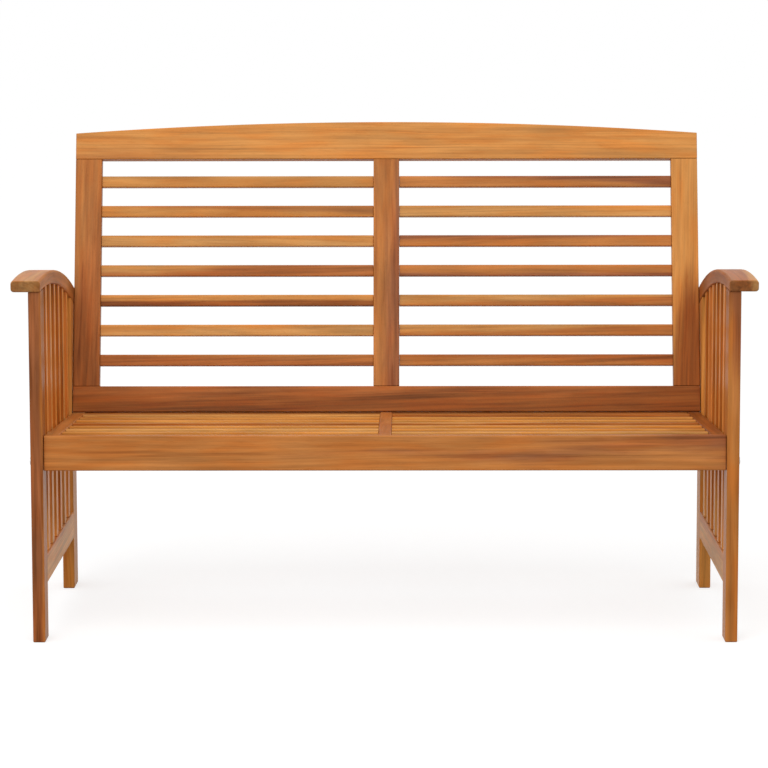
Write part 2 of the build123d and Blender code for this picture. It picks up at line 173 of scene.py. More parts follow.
# Levels of the figure where a mark starts and where it is full, and the redness of dark and of pale wood
LEVELS = {
    "rings": (0.28, 0.72),
    "pores": (0.66, 0.74),
    "heartwood": (-0.4, 0.4),
    "warm": (0.48, 0.66),
    "pale": (0.34, 0.50),
    "dark streaks": (0.59, 0.72),
    "pale wood": (0.30, 0.52),
}

# How much the figure lightens and darkens the wood, and what veins and dark streaks gain on dark wood
LIGHT = {"rings": 0.20, "streaks": 0.55, "fibres": 0.35, "clouds": 0.65, "veins": 0.20}
DARK_WOOD_VEINS = 1.20
DARK_WOOD_STREAKS = 0.875

# How much the figure raises or sinks the surface, and how much it roughens it
RELIEF = {"fibres": 0.6, "rings": 0.25, "pores": -0.8}
RELIEF_BUMP = {"Strength": 0.35, "Distance": 0.0004}
FIBRE_ROUGHNESS = 0.16
END_ROUGHNESS = 0.18
PORE_ROUGHNESS = 0.12

# Tints that the wood is multiplied by where a mark is full, and the share of the wood that takes them
Tint = namedtuple("Tint", "colour share")
WARM = Tint((1.03, 0.84, 0.58), 0.55)
PALE = Tint((1.02, 1.12, 1.30), 0.55)
DARK_STREAK = Tint((0.62, 0.50, 0.40), 0.40)
PORE = Tint((0.55, 0.45, 0.40), 0.40)
END_GRAIN = Tint((0.50, 0.57, 0.73), 0.70)
# Lighter edges: wear, and a painted highlight along their rounding
WORN_AND_HIGHLIT_EDGE = Tint((1.06, 1.06, 1.05), 0.60)

# Polish of the boards: shares of the finish's gloss and of its roughness, and the oil's own roughness
Polish = namedtuple("Polish", "name gloss roughness")
SATIN = Polish("satin", 1.0, 1.0)
SMOOTH = Polish("smooth", 0.2, 0.72)
DRY = Polish("dry", 0.2, 1.0)
OIL_ROUGHNESS = 0.38

# Zinc plating: its colours, its mottled bloom and its turning marks
ZINC_PALE = (0.66, 0.66, 0.63, 1.0)
ZINC_DULL = (0.50, 0.51, 0.50, 1.0)
ZINC_ROUGHNESS = 0.30
BLOOM_NOISE = {"Scale": 420.0, "Detail": 3.0}
BLOOM_LEVELS = (0.3, 0.7)
BLOOM_ROUGHNESS = 0.22
TURNING_NOISE = {"Scale": 2600.0, "Detail": 1.0}
TURNING_BUMP = {"Strength": 0.2, "Distance": 0.0001}

# Studio
WHITE = (1.0, 1.0, 1.0, 1.0)
FLOOR_GREY = (0.40, 0.40, 0.40, 1.0)
FLOOR_REACH = 120.0
KEY_PLACE = (-0.6, -3.0, 3.6)
KEY_AIM = (0.0, 0.0, 0.4)
KEY_SIZE = 3.0

# Sockets of a Mix node: its factor, its two colours and its result
MIX_SHARE, MIX_FIRST, MIX_SECOND, MIX_RESULT = 0, 6, 7, 2


def arm_top(y):
    """Height of the armrest's upper face at a place along Y, on a circle."""
    return ARM_CENTRE_Z + np.sqrt(ARM_RADIUS**2 - (y - ARM_CENTRE_Y) ** 2)


def arm_underside(y):
    """Height of the armrest's lower face at a place along Y, on a circle of its own."""
    return UNDER_CENTRE_Z + np.sqrt(UNDER_RADIUS**2 - (y - UNDER_CENTRE_Y) ** 2)


class Panel:
    """A flat panel's own axes: X, the depth towards the rear and the height, tilted about X."""

    def __init__(self, origin_y, origin_z, tilt):
        self.origin = np.array((0.0, origin_y, origin_z))
        self.axes = np.array(((1.0, 0.0, 0.0), (0.0, cos(tilt), -sin(tilt)), (0.0, sin(tilt), cos(tilt))))

    def to_world(self, local):
        """The origin, and each of the three places times its axis."""
        return self.origin + np.asarray(local) @ self.axes

    def to_local(self, world):
        """Distances from the origin along the three axes."""
        return (world - self.origin) @ self.axes.T


class ArmBow:
    """An armrest's own axes: X, the place along Y, and the height above its underside.

    The lower half of the thickness is measured up from the underside, and the upper half down from the top.
    """

    def to_world(self, local):
        """X and Y as they are, with the height added to the arc below it or taken down from the arc above."""
        x, y, height = np.moveaxis(np.asarray(local), -1, 0)
        above_middle = height > ARM_THICKNESS / 2
        z = np.where(above_middle, arm_top(y) - ARM_THICKNESS + height, arm_underside(y) + height)
        return np.stack((x, y, z), axis=-1)

    def to_local(self, world):
        """X and Y as they are, with the height measured from the nearer arc."""
        x, y, z = np.moveaxis(world, -1, 0)
        top, under = arm_top(y), arm_underside(y)
        height = np.where(2 * z > top + under, ARM_THICKNESS + z - top, z - under)
        return np.stack((x, y, height), axis=-1)


# The back stands where its lower bolt meets the rear leg
back_setback = (
    SIDE_DEPTH - BACK_BOLT_INSET - BACK_BOLT_RISE * sin(BACK_LEAN) - BACK_THICKNESS / 2 * cos(BACK_LEAN)
)
back_base = SEAT_FRONT_HEIGHT - (back_setback - SEAT_FRONT_SETBACK) * tan(SEAT_TILT) + BACK_SEAT_GAP
UPRIGHT = Panel(0.0, 0.0, 0.0)
SEAT = Panel(FRONT_Y + SEAT_FRONT_SETBACK, SEAT_FRONT_HEIGHT, SEAT_TILT)
BACK = Panel(FRONT_Y + back_setback, back_base, BACK_LEAN)
BOW = ArmBow()

# Places of a panel's own axes, and the orders in which a board names them: along, across and through
X, DEPTH, HEIGHT = 0, 1, 2
CROSS_FLAT = (X, DEPTH, HEIGHT)
CROSS_ON_EDGE = (X, HEIGHT, DEPTH)
FRONT_TO_REAR = (DEPTH, HEIGHT, X)
ARM_ORDER = (DEPTH, X, HEIGHT)
STANDING_SIDE = (HEIGHT, DEPTH, X)
STANDING_BACK = (HEIGHT, X, DEPTH)

# Heights and depths inside the panels
seat_rear_bolt = (
    SIDE_DEPTH - REAR_LEG_DEPTH + SEAT_BOLT_INSET - SEAT_FRONT_SETBACK + SEAT_BOLT_DROP * sin(SEAT_TILT)
) / cos(SEAT_TILT)
seat_depth = seat_rear_bolt + SEAT_RAIL_THICKNESS / 2
seat_rear_face = seat_depth - SEAT_RAIL_THICKNESS
back_opening_top = BACK_BOTTOM_RAIL_HEIGHT + BACK_OPENING_HEIGHT
back_end_height = back_opening_top + BACK_TOP_RAIL_HEIGHT
back_bevel = BACK_THICKNESS * tan(BACK_LEAN - SEAT_TILT)
crest_radius = (PANEL_X**2 + BACK_CREST_RISE**2) / (2 * BACK_CREST_RISE)

# The bolt from armrest to back, where the middle of the armrest meets the stile, and the places of the nuts
back_middle = BACK_THICKNESS / 2
arm_middle = np.array((0.0, ARM_CENTRE_Y + UNDER_CENTRE_Y, ARM_CENTRE_Z + UNDER_CENTRE_Z)) / 2
arm_middle_radius = (ARM_RADIUS + UNDER_RADIUS) / 2
stile_foot = BACK.to_world((0.0, back_middle, 0.0)) - arm_middle
stile_slope = stile_foot @ BACK.axes[HEIGHT]
arm_bolt_rise = sqrt(stile_slope**2 + arm_middle_radius**2 - stile_foot @ stile_foot) - stile_slope
arm_bolt = BACK.to_world((0.0, back_middle, arm_bolt_rise))
leg_nut_x = OUTER_X - BOLT_REACH
arm_nut_x = ARM_HIGH.x - HEAD_RECESS_DEPTH - BOLT_REACH

# What a board is sawn from: its main tone, the tone of its heartwood, how fast the heartwood gains along,
# across and through the board, from -1 at one side to 1 at the other, the level where it starts, and the
# board's lightness. On the side slats the heartwood is painted shade and the lightness painted light, and at
# the feet of the back stiles the heartwood is partly painted shade.
Timber = namedtuple(
    "Timber", "tone heart along across through start light", defaults=(0.0, 1.0, 0.0, 0.4, 1.0)
)
BOARD_TIMBERS = {
    "front_leg_left": Timber("walnut", "amber", across=0.0, through=1.0, start=0.8, light=1.02),
    "front_leg_right": Timber("amber", "walnut", along=1.0, across=0.0, through=0.4, start=0.6, light=1.08),
    "rear_leg_left": Timber("amber", "honey", across=0.0, through=0.7, start=0.2),
    "rear_leg_right": Timber("honey", "amber", across=0.0, through=0.7, start=0.5, light=1.08),
    "lower_rail_left": Timber("straw", "amber", start=0.7, light=1.12),
    "lower_rail_right": Timber("straw", "amber", start=0.7, light=1.12),
    "armrest_left": Timber("straw", "amber", across=0.3, start=-0.1, light=0.88),
    "armrest_right": Timber("russet", "straw", start=0.7, light=0.92),
    "seat_front_rail": Timber("amber", "walnut", along=0.4, across=0.2, start=0.45, light=1.04),
    "seat_rear_rail": Timber("russet", "amber"),
    "seat_end_rail_left": Timber("russet", "amber", start=0.3),
    "seat_end_rail_right": Timber("russet", "umber", start=0.5),
    "seat_centre_rail": Timber("amber", "russet", start=0.7, light=1.16),
    "back_top_rail": Timber("honey", "amber", along=-0.2, across=-0.4, start=0.5, light=1.02),
    "back_bottom_rail": Timber("umber", "russet", across=0.8, start=0.4, light=1.03),
    # Both back stiles darken towards the bottom: partly heartwood, partly painted shade in the corner above
    # the seat
    "back_stile_left": Timber("russet", "amber", along=1.1, across=-0.7, start=0.3, light=0.97),
    "back_stile_right": Timber("honey", "umber", along=-1.2, across=0.4, start=0.5, light=1.01),
    "back_centre_stile": Timber("amber", "walnut", along=-0.25, across=0.9, start=0.35),
}
# Side slats and seat slats from front to rear. The side slats' dark heartwood lies on their fronts, as
# painted shade in the gaps between them, and their raised lightness is painted light on their inner faces.
SIDE_SLAT_TIMBERS_WITH_PAINTED_LIGHT = {
    "left": (
        Timber("honey", "umber", along=0.8, across=-2.4, start=1.55, light=1.46),
        Timber("straw", "russet", along=0.7, across=-2.2, start=1.35, light=1.36),
        Timber("honey", "umber", along=0.9, across=-2.6, start=1.65, light=1.46),
        Timber("honey", "umber", along=0.7, across=-2.2, start=1.35, light=1.4),
        Timber("straw", "umber", along=0.8, across=-2.4, start=1.55, light=1.38),
        Timber("honey", "russet", along=0.7, across=-2.3, start=1.45, light=1.4),
    ),
    "right": (
        Timber("honey", "russet", along=0.8, across=-2.3, start=1.4, light=1.36),
        Timber("honey", "umber", along=0.9, across=-2.4, start=1.5, light=1.42),
        Timber("straw", "umber", along=0.9, across=-2.2, start=1.3, light=1.34),
        Timber("honey", "umber", along=1.0, across=-2.6, start=1.5, light=1.4),
        Timber("honey", "russet", along=0.8, across=-2.4, start=1.5, light=1.36),
        Timber("straw", "umber", along=0.9, across=-2.3, start=1.4, light=1.34),
    ),
}
SEAT_SLAT_TIMBERS = {
    "left": (
        Timber("honey", "straw"),
        Timber("straw", "amber", across=1.2, start=0.5, light=1.04),
        Timber("honey", "amber"),
        Timber("straw", "russet", across=-1.3, start=0.7, light=1.04),
        Timber("honey", "amber", across=1.2, start=0.4, light=1.03),
        Timber("honey", "russet", along=-0.5, across=0.9, start=0.6),
        Timber("straw", "amber", across=1.1, start=0.5, light=1.04),
    ),
    "right": (
        Timber("straw", "amber", across=1.0, start=0.5),
        Timber("honey", "russet", along=0.4, across=1.3, start=0.5),
        Timber("honey", "straw"),
        Timber("straw", "russet", along=0.6, across=-1.3, start=0.4),
        Timber("honey", "umber", along=0.5, across=1.4, start=0.7),
        Timber("honey", "russet", across=1.1, start=0.5),
        Timber("amber", "russet", across=-1.2, start=0.5),
    ),
}
# Back slats from the lowest to the highest
BACK_SLAT_TIMBERS = {
    "left": (
        Timber("russet", "amber", along=0.6, start=0.3, light=1.02),
        Timber("straw", "honey", along=-0.5, start=0.3, light=1.04),
        Timber("honey", "umber", across=-1.6, start=0.0, light=0.97),
        Timber("straw", "russet", along=1.0, across=-0.5, start=-0.6),
        Timber("straw", "honey", along=0.5, start=0.2),
        Timber("honey", "amber", along=0.8, start=0.3, light=0.94),
        Timber("honey", "straw", along=-0.4, start=0.4, light=0.90),
    ),
    "right": (
        Timber("amber", "russet", along=0.9, start=0.1, light=0.96),
        Timber("amber", "straw", along=-0.4, start=0.3, light=0.98),
        Timber("amber", "straw", along=-0.5, start=0.2),
        Timber("amber", "walnut", across=-1.2, start=0.8, light=1.04),
        Timber("amber", "walnut", along=-0.3, start=0.5, light=1.05),
        Timber("straw", "honey", along=0.4, start=0.4),
        Timber("amber", "walnut", along=0.9, start=0.5, light=1.03),
    ),
}


def spread(start, space, count, width):
    """Centre lines of equal slats with equal gaps between them and at both ends of a space."""
    gap = (space - count * width) / (count + 1)
    return start + gap + width / 2 + np.arange(count) * (gap + width)


def slats(middles, timbers):
    """Name, side, centre line and timber of each slat, on both sides of the bench."""
    for side_name, side in SIDES.items():
        for number, (middle, timber) in enumerate(zip(middles, timbers[side_name]), start=1):
            yield f"{side_name}_{number}", side, middle, timber


def centred(middle, size):
    """Two limits on either side of a middle."""
    return middle - size / 2, middle + size / 2


def mirrored(limits, side):
    """Limits along X on the right of the bench, or their mirror image on its left."""
    return tuple(sorted(side * limit for limit in limits))


def oblong(across, through):
    """Corners of a rectangle, anticlockwise, from its two pairs of limits."""
    (left, right), (low, high) = across, through
    return np.array(((left, low), (right, low), (right, high), (left, high)))


def meet_arm(local):
    """Stretch an upright board to follow the armrest: z * underside(y) / underside(middle y)."""
    y = local[..., DEPTH]
    local[..., HEIGHT] *= arm_underside(y) / arm_underside(y.mean())
    return local


def arch_top(local):
    """Lift the upper half of the back's top rail by rise - radius + sqrt(radius^2 - x^2)."""
    lift = BACK_CREST_RISE - crest_radius + np.sqrt(crest_radius**2 - local[..., X] ** 2)
    upper = local[..., HEIGHT] > back_opening_top + BACK_TOP_RAIL_HEIGHT / 2
    local[..., HEIGHT] += upper * lift
    return local


def eased_outline(corners, radii, steps):
    """Arc centres, radii and directions round a convex outline whose corners are rounded.

    At each corner the centre lies its radius inside both edges, and the directions turn evenly from the
    outward normal of one edge to that of the next. A point of the outline is centre + radius * direction.
    """
    edges = np.roll(corners, -1, axis=0) - corners
    leaving = np.stack((edges[:, 1], -edges[:, 0]), axis=1) / np.linalg.norm(edges, axis=1, keepdims=True)
    arriving = np.roll(leaving, 1, axis=0)
    cosine = np.sum(arriving * leaving, axis=1, keepdims=True)
    centres = corners - radii[:, None] * (arriving + leaving) / (1 + cosine)
    turn = np.arccos(np.clip(cosine, -1, 1))
    angles = np.arctan2(arriving[:, 1:], arriving[:, :1]) + turn * np.linspace(0, 1, steps + 1)
    directions = np.stack((np.cos(angles), np.sin(angles)), axis=-1)
    return np.repeat(centres, steps + 1, axis=0), np.repeat(radii, steps + 1), directions.reshape(-1, 2)


def stations(start, end, radii, steps, spans):
    """Places along a board, and how far its outline is drawn in there to round both ends.

    At angle a of an end's quarter round the place is radius * (1 - cos a) from the end, and the outline is
    drawn in by radius * (1 - sin a).
    """
    near, far = radii
    angle = np.linspace(0, pi / 2, steps + 1)
    reach, inset = 1 - np.cos(angle), 1 - np.sin(angle)
    middle = np.linspace(start + near, end - far, spans + 1)[1:-1]
    places = np.concatenate((start + near * reach, middle, (end - far * reach)[::-1]))
    insets = np.concatenate((near * inset, np.zeros(len(middle)), (far * inset)[::-1]))
    return places, insets


def tube_faces(rings, points):
    """Quads between neighbouring rings of a closed outline, and one cap at each end."""
    ring, point = np.meshgrid(np.arange(rings - 1), np.arange(points), indexing="ij")
    here = ring * points + point
    beside = ring * points + (point + 1) % points
    quads = np.stack((here, beside, beside + points, here + points), axis=-1).reshape(-1, 4)
    near_cap = np.arange(points)[::-1]
    far_cap = (rings - 1) * points + np.arange(points)
    return [*quads.tolist(), near_cap.tolist(), far_cap.tolist()]


def put_tube(name, grid):
    """A closed mesh object from a grid of rings of points, with its faces pointing outwards."""
    ring = (len(grid) - 1) // 2
    corner = grid[ring, 0]
    normal = np.cross(grid[ring, 1] - corner, grid[ring + 1, 0] - corner)
    if normal @ (corner - grid[ring].mean(axis=0)) < 0:
        grid = grid[:, ::-1]
    mesh = bpy.data.meshes.new(name)
    mesh.from_pydata(grid.reshape(-1, 3), [], tube_faces(*grid.shape[:2]))
    piece = bpy.data.objects.new(name, mesh)
    bpy.context.scene.collection.objects.link(piece)
    return piece


def put_cutter(mouth, direction, radius, depth):
    """A round cutter, two rings of radius * (cos a, sin a) as far outside a hole's mouth as inside it."""
    side = np.cross(direction, SLANTED)
    side /= np.linalg.norm(side)
    angle = np.linspace(0, 2 * pi, HOLE_SEGMENTS, endpoint=False)[:, None]
    ring = mouth + radius * (np.cos(angle) * side + np.sin(angle) * np.cross(direction, side))
    return put_tube("cutter", np.stack((ring - depth * direction, ring + depth * direction)))


def bore(piece, holes):
    """Cut round holes out of a piece, each given by its mouth, its direction, its radius and its depth."""
    cutters = [put_cutter(*hole) for hole in holes]
    for cutter in cutters:
        cut = piece.modifiers.new("bore", "BOOLEAN")
        cut.solver = "EXACT"
        cut.object = cutter
    bored = bpy.data.meshes.new_from_object(piece.evaluated_get(bpy.context.evaluated_depsgraph_get()))
    piece.modifiers.clear()
    piece.data = bored
    for cutter in cutters:
        bpy.data.objects.remove(cutter)


def head_recess(side):
    """The recess for one bolt head in the outer face of an armrest."""
    mouth = np.array((side * ARM_HIGH.x, arm_bolt[1], arm_bolt[2]))
    return mouth, np.array((-side, 0.0, 0.0)), HEAD_RECESS_RADIUS, HEAD_RECESS_DEPTH


def nut_hole(panel, x, depth, height, direction):
    """The hole for one barrel nut in a face of a panel, going to its rear (1) or its front (-1)."""
    return panel.to_world((x, depth, height)), direction * panel.axes[DEPTH], NUT_HOLE_RADIUS, NUT_HOLE_DEPTH


def set_vectors(mesh, name, values):
    """Store one vector for each vertex under a name that the wood reads."""
    attribute = mesh.attributes.new(name, "FLOAT_VECTOR", "POINT")
    vectors = np.broadcast_to(values, (len(mesh.vertices), 3)).astype(np.float32)
    attribute.data.foreach_set("vector", vectors.ravel())


def mark_grain(mesh, panel, order, span, corners, edge, ends, timber, seed):
    """Give a board its grain, tones and marks.

    The grain is the place along, across and through the board, measured from a pith that lies to one side of
    it and slants a little away from it. The marks are the level of the heartwood, along * u + across * v +
    through * w - start with u, v and w from -1 to 1 over the board, then 1 on the end faces, which falls to 0
    over the rounding of the ends, and 1 along the edges, which are lightened there for wear and for a painted
    highlight.
    """
    world = np.empty(len(mesh.vertices) * 3, np.float32)
    mesh.vertices.foreach_get("co", world)
    place = panel.to_local(world.reshape(-1, 3).astype(float))[:, order]
    low = np.array((span[0], *corners.min(axis=0)))
    high = np.array((span[1], *corners.max(axis=0)))
    offset = place - (low + high) / 2
    share = 2 * offset / (high - low)
    rng = np.random.default_rng(seed)
    start = rng.uniform(*TRUNK_PLACE)
    bearing = rng.uniform(0, 2 * pi)
    pith = rng.uniform(*PITH_DISTANCE) * np.array((cos(bearing), sin(bearing)))
    slant = rng.uniform(-PITH_SLANT, PITH_SLANT, 2)
    grain = np.column_stack((place[:, 0] + start, offset[:, 1:] + pith + offset[:, :1] * slant))
    heart = share @ (timber.along, timber.across, timber.through) - timber.start
    inside = np.abs(place[:, :1] - span) / ends
    end = np.clip(1 - inside.min(axis=1), 0, 1)
    depth = np.clip((high - low)[1:] / 2 - np.abs(offset[:, 1:]), 0, None)
    # How near each point is to an edge, for wear and a painted highlight
    edges = np.clip(EDGE_WEAR_AND_HIGHLIGHT * (1 - depth.max(axis=1) / edge), 0, 1)
    settings = bpy.context.scene.bench_tones
    set_vectors(mesh, "grain", grain)
    set_vectors(mesh, "marks", np.column_stack((heart, end, edges)))
    # Each board's lightness; on the side slats it is painted light
    set_vectors(mesh, "tone", timber.light * np.array(getattr(settings, timber.tone)))
    set_vectors(mesh, "heart_tone", timber.light * np.array(getattr(settings, timber.heart)))


def lay_board(
    node, panel, order, span, corners, timber, slot,
    spans=BOARD_SPANS, edges=None, ends=None, shape=None, holes=(), polish=SATIN,
):
    """Make one board, an eased outline carried from end to end of a span, and let it stand for its node."""
    sizes = bpy.context.scene.bench_sizes
    edges = np.array(edges or [sizes.edge_radius] * len(corners))
    ends = ends or (sizes.end_radius, sizes.end_radius)
    centres, radii, directions = eased_outline(corners, edges, sizes.edge_steps)
    places, insets = stations(*span, ends, sizes.edge_steps, spans)
    outline = centres + (radii - insets[:, None])[..., None] * directions
    local = np.empty((*outline.shape[:2], 3))
    local[..., order[0]] = places[:, None]
    local[..., order[1]] = outline[..., 0]
    local[..., order[2]] = outline[..., 1]
    if shape:
        local = shape(local)
    board = put_tube(f"{node}_board", panel.to_world(local))
    if holes:
        bore(board, holes)
    seed = sorted(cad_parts).index(node)
    mark_grain(board.data, panel, order, span, corners, edges.max(), ends, timber, seed)
    board.data.shade_smooth()
    board.data.set_sharp_from_angle(angle=SHARP_ANGLE)
    shading = board.modifiers.new("even shading", "WEIGHTED_NORMAL")
    shading.keep_sharp = True
    shading.weight = FLAT_WEIGHT
    board.data.materials.clear()
    board.data.materials.append(oiled_wood(slot, polish))
    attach(board, "root")
    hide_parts(node)


class Signal:
    """An output of a shader node. Python expressions on signals add the nodes that work them out."""

    def __init__(self, tree, socket=None):
        self.tree = tree
        self.socket = socket

    def make(self, kind, settings=None, inputs=None, output=0):
        """Add a node, set its settings, then set or link its inputs, and return one of its outputs."""
        node = self.tree.nodes.new(kind)
        for name, value in (settings or {}).items():
            setattr(node, name, value)
        for name, value in (inputs or {}).items():
            if isinstance(value, Signal):
                self.tree.links.new(value.socket, node.inputs[name])
            else:
                node.inputs[name].default_value = value
        return Signal(self.tree, node.outputs[output])

    def math(self, operation, *values):
        """An operation on numbers."""
        return self.make("ShaderNodeMath", {"operation": operation}, dict(enumerate(values)))

    def vector(self, operation, *values):
        """An operation on vectors or colours."""
        return self.make("ShaderNodeVectorMath", {"operation": operation}, dict(enumerate(values)))

    def scaled(self, factor):
        """This vector or colour times a number."""
        return self.make("ShaderNodeVectorMath", {"operation": "SCALE"}, {0: self, "Scale": factor})

    def attribute(self, name):
        """A vector that is stored on the mesh."""
        return self.make("ShaderNodeAttribute", {"attribute_name": name}, output="Vector")

    def parts(self):
        """The three numbers of this vector or colour."""
        first = self.make("ShaderNodeSeparateXYZ", None, {0: self})
        return [Signal(self.tree, output) for output in first.socket.node.outputs]

    def step(self, low, high):
        """0 below low and 1 above high, with a smooth rise between them."""
        limits = {"Value": self, "From Min": low, "From Max": high}
        return self.make("ShaderNodeMapRange", {"interpolation_type": "SMOOTHSTEP"}, limits)

    def mixed(self, other, share):
        """This colour with a share of another colour."""
        inputs = {MIX_SHARE: share, MIX_FIRST: self, MIX_SECOND: other}
        return self.make("ShaderNodeMix", {"data_type": "RGBA"}, inputs, MIX_RESULT)

    def tinted(self, tint, mark):
        """This colour, multiplied by a tint over the tint's share of it where a mark is full."""
        return self.mixed(self.vector("MULTIPLY", self, tint.colour), tint.share * mark)

    def __add__(self, other):
        return self.math("ADD", self, other)

    def __sub__(self, other):
        return self.math("SUBTRACT", self, other)

    def __rsub__(self, other):
        return self.math("SUBTRACT", other, self)

    def __mul__(self, other):
        return self.math("MULTIPLY", self, other)

    def __pow__(self, other):
        return self.math("POWER", self, other)

    __radd__ = __add__
    __rmul__ = __mul__


def new_material(name):
    """A material with its shader and a signal to start expressions from."""
    material = bpy.data.materials.new(name)
    material.use_nodes = True
    return material, material.node_tree.nodes["Principled BSDF"], Signal(material.node_tree)


def link(signal, shader, name):
    """Let a signal drive one socket of a shader."""
    signal.tree.links.new(signal.socket, shader.inputs[name])


def figure(grain, kind):
    """Noise drawn out along the grain, from 0 to 1."""
    along, across, detail = FIGURE[kind]
    stretched = grain.vector("MULTIPLY", grain, (along, across, across))
    inputs = {"Vector": stretched, "Scale": 1.0, "Detail": detail, "Roughness": FIGURE_ROUGHNESS}
    return grain.make("ShaderNodeTexNoise", None, inputs)


def growth_rings(grain, spacing):
    """Rings about the pith: noise over sqrt(across^2 + through^2), which wanders a little, from 0 to 1."""
    across, through = grain.parts()[1:]
    radius = (across * across + through * through) ** 0.5 + RING_WANDER * figure(grain, "wander")
    inputs = {"W": radius * (1 / spacing), **RING_NOISE}
    return grain.make("ShaderNodeTexNoise", {"noise_dimensions": "1D"}, inputs).step(*LEVELS["rings"])


def weighed(marks, shares):
    """The sum of the marks, each times its share."""
    return sum(share * marks[kind] for kind, share in shares.items())


def oiled_wood(slot, polish):
    """Oiled hardwood: growth rings about a pith, long streaks, fibres and pores in each board's own tones."""
    name = f"{polish.name}_{slot}"
    if name in bpy.data.materials:
        return bpy.data.materials[name]
    finish = bpy.context.scene.bench_finish
    material, shader, start = new_material(name)
    grain = start.attribute("grain")
    heart, end, edge = start.attribute("marks").parts()
    sway = SWAY * (figure(grain, "sway") - FIGURE_MEAN)
    wavy = grain.vector("ADD", grain, start.make("ShaderNodeCombineXYZ", None, {"Y": sway, "Z": sway}))
    marks = {kind: figure(wavy, kind) for kind in ("streaks", "fibres", "clouds", "veins")}
    marks["rings"] = growth_rings(grain, finish.ring_spacing)
    marks["pores"] = figure(wavy, "pores").step(*LEVELS["pores"])
    swings = {kind: marks[kind] - FIGURE_MEAN for kind in LIGHT}

    heart_level = heart + HEART_WANDER * (figure(wavy, "heartwood") - FIGURE_MEAN)
    # The heartwood tone is also painted shade on the side slats' fronts, and partly at the back stiles' feet
    heartwood = heart_level.step(*LEVELS["heartwood"])
    colour = start.attribute("tone").mixed(start.attribute("heart_tone"), heartwood)
    darkness = 1.0 - colour.parts()[0].step(*LEVELS["pale wood"])
    light = weighed(swings, LIGHT) + DARK_WOOD_VEINS * darkness * swings["veins"]
    glow = figure(wavy, "glow")
    dark_streaks = figure(wavy, "dark streaks").step(*LEVELS["dark streaks"])
    colour = colour.scaled(1.0 + finish.figure * light)
    colour = colour.tinted(WARM, glow.step(*LEVELS["warm"]))
    colour = colour.tinted(PALE, 1.0 - glow.step(*LEVELS["pale"]))
    colour = colour.tinted(DARK_STREAK, (1.0 + DARK_WOOD_STREAKS * darkness) * dark_streaks)
    colour = colour.tinted(PORE, marks["pores"])
    colour = colour.tinted(END_GRAIN, end)
    # Edges lighter: wear, and a painted highlight along the rounded edges
    colour = colour.tinted(WORN_AND_HIGHLIT_EDGE, edge)
    link(colour, shader, "Base Color")

    oiled = polish.roughness * (finish.roughness + FIBRE_ROUGHNESS * swings["fibres"])
    link(oiled + END_ROUGHNESS * end + PORE_ROUGHNESS * marks["pores"], shader, "Roughness")
    shader.inputs["Specular IOR Level"].default_value = polish.gloss * finish.specular
    shader.inputs["Coat Weight"].default_value = polish.gloss * finish.oil
    shader.inputs["Coat Roughness"].default_value = OIL_ROUGHNESS
    relief = {"Height": weighed(marks, RELIEF), **RELIEF_BUMP}
    link(start.make("ShaderNodeBump", None, relief), shader, "Normal")
    return material


def zinc_steel():
    """Zinc-plated steel: pale metal with fine turning marks and a mottled bloom."""
    material, shader, start = new_material("plated_steel")
    place = start.make("ShaderNodeTexCoord", output="Object")
    bloom = start.make("ShaderNodeTexNoise", None, {"Vector": place, **BLOOM_NOISE})
    turning = start.make("ShaderNodeTexNoise", None, {"Vector": place, **TURNING_NOISE})
    colours = {MIX_SHARE: bloom.step(*BLOOM_LEVELS), MIX_FIRST: ZINC_PALE, MIX_SECOND: ZINC_DULL}
    link(start.make("ShaderNodeMix", {"data_type": "RGBA"}, colours, MIX_RESULT), shader, "Base Color")
    shader.inputs["Metallic"].default_value = 1.0
    link(ZINC_ROUGHNESS + BLOOM_ROUGHNESS * bloom, shader, "Roughness")
    link(start.make("ShaderNodeBump", None, {"Height": turning, **TURNING_BUMP}), shader, "Normal")
    return material


class BenchSizes(bpy.types.PropertyGroup):
    """Rounding of the boards."""

    edge_radius: FloatProperty(
        name="Edge radius", description="Rounding of the long edges of a board", default=0.002, unit="LENGTH"
    )
    end_radius: FloatProperty(
        name="End radius", description="Rounding of the ends of a board", default=0.0010, unit="LENGTH"
    )
    arm_edge_radius: FloatProperty(
        name="Armrest edge radius", description="Rounding of the armrests", default=0.0050, unit="LENGTH"
    )
    arm_inner_radius: FloatProperty(
        name="Armrest inner radius",
        description="Rounding of the armrests over the legs, and of their ends",
        default=0.0025,
        unit="LENGTH",
    )
    edge_steps: IntProperty(name="Edge steps", description="Flats across each rounded edge", default=4, min=1)


class BenchTones(bpy.types.PropertyGroup):
    """Tones of the oiled wood, from light to dark."""

    straw: FloatVectorProperty(
        name="Straw", description="Pale yellowish wood", default=(0.590, 0.275, 0.078), subtype="COLOR"
    )
    honey: FloatVectorProperty(
        name="Honey", description="Light golden wood", default=(0.600, 0.246, 0.056), subtype="COLOR"
    )
    amber: FloatVectorProperty(
        name="Amber", description="Orange-brown wood", default=(0.480, 0.173, 0.040), subtype="COLOR"
    )
    russet: FloatVectorProperty(
        name="Russet", description="Reddish-brown wood", default=(0.390, 0.122, 0.027), subtype="COLOR"
    )
    walnut: FloatVectorProperty(
        name="Walnut", description="Greyish-brown wood", default=(0.290, 0.096, 0.034), subtype="COLOR"
    )
    umber: FloatVectorProperty(
        name="Umber", description="Dark brown heartwood", default=(0.285, 0.080, 0.013), subtype="COLOR"
    )


class BenchFinish(bpy.types.PropertyGroup):
    """Figure and oil of the wood."""

    ring_spacing: FloatProperty(
        name="Ring spacing", description="Mean width of a growth ring", default=0.006, unit="LENGTH"
    )
    figure: FloatProperty(
        name="Figure", description="Strength of the rings and streaks", default=1.0, subtype="FACTOR"
    )
    roughness: FloatProperty(
        name="Roughness", description="Roughness of the oiled surface", default=0.46, subtype="FACTOR"
    )
    specular: FloatProperty(
        name="Specular", description="Level of the wood's own gloss", default=0.12, subtype="FACTOR"
    )
    oil: FloatProperty(
        name="Oil", description="Weight of the oil's own gloss", default=0.04, subtype="FACTOR"
    )


